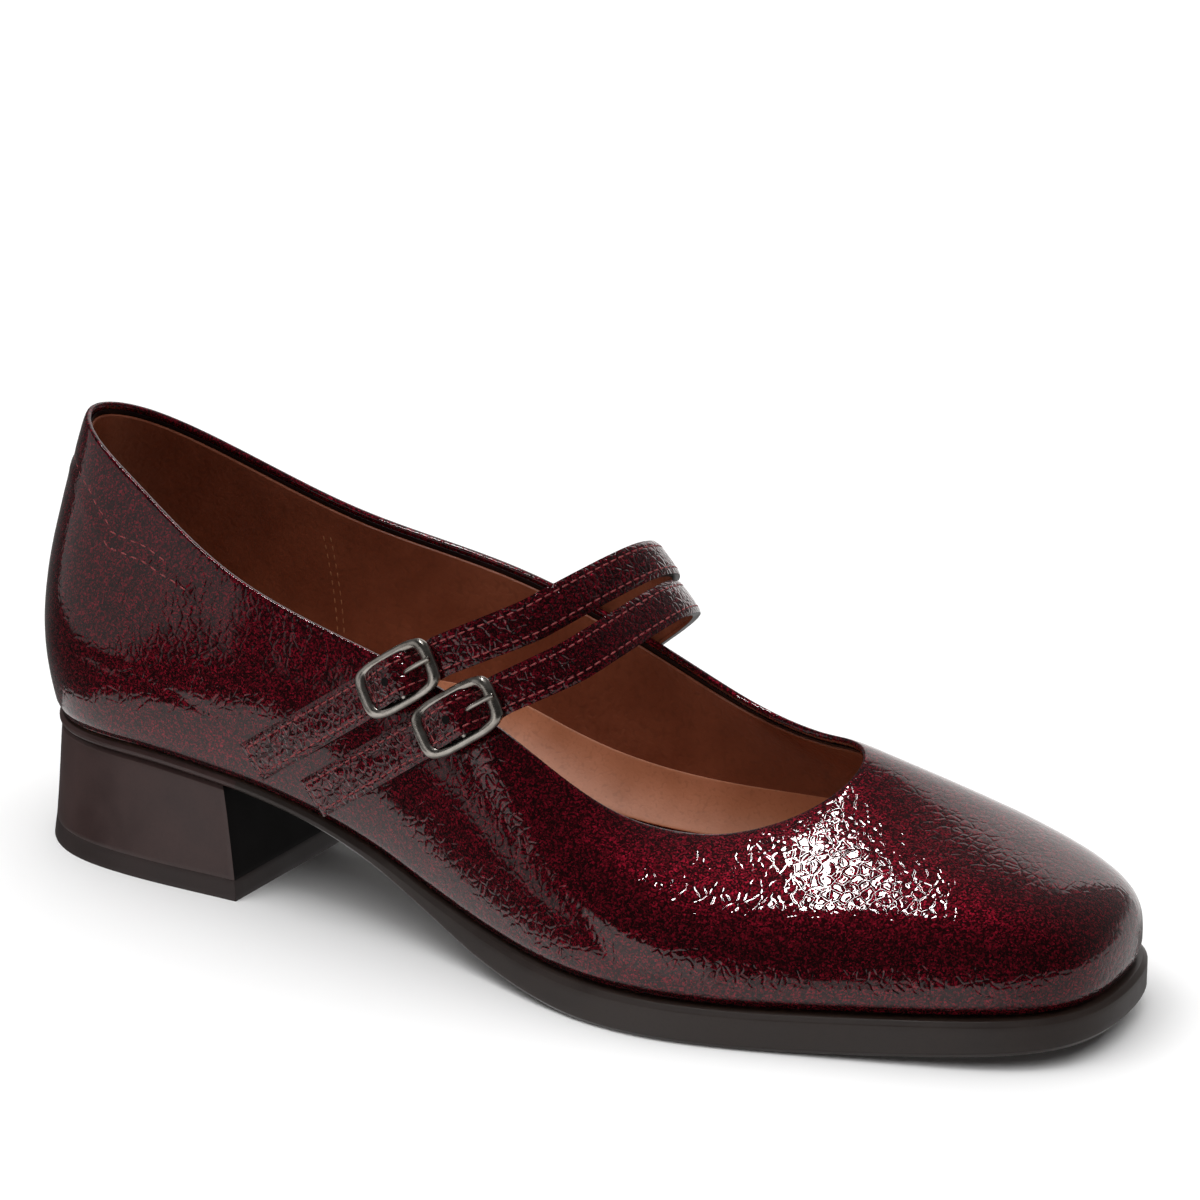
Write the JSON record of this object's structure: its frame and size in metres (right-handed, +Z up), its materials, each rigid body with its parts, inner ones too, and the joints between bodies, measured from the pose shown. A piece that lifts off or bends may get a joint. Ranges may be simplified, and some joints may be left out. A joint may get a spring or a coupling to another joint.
{
  "type": "mary jane pump",
  "caption": "Square-toed mary jane pump for the right foot, with a low block heel and buckled instep straps, in burgundy crinkled patent leather.",
  "frame": {"origin": "in the heel's bottom face on the floor, on the shoe's long axis", "axes": "+X from heel to toe, +Y to the inner side of the foot, +Z up"},
  "size_m": [0.2603, 0.0865, 0.0953],
  "materials": {
    "patent": "crinkled patent leather, high gloss with fine red flakes",
    "lining": "smooth tan lining leather",
    "sole": "dark brown, satin",
    "heel": "dark brown, satin",
    "lift": "dark brown, matte",
    "nickel": "brushed old nickel"
  },
  "bodies": {
    "root": {"upper": "patent", "outsole": "sole", "insole": "lining", "heel_block": "heel", "heel_lift": "lift", "strap_rear": "patent", "strap_front": "patent", "tab_rear": "patent", "tab_front": "patent", "buckle_rear": "nickel", "buckle_front": "nickel", "prong_rear": "nickel", "prong_front": "nickel"}
  },
  "joints": []
}
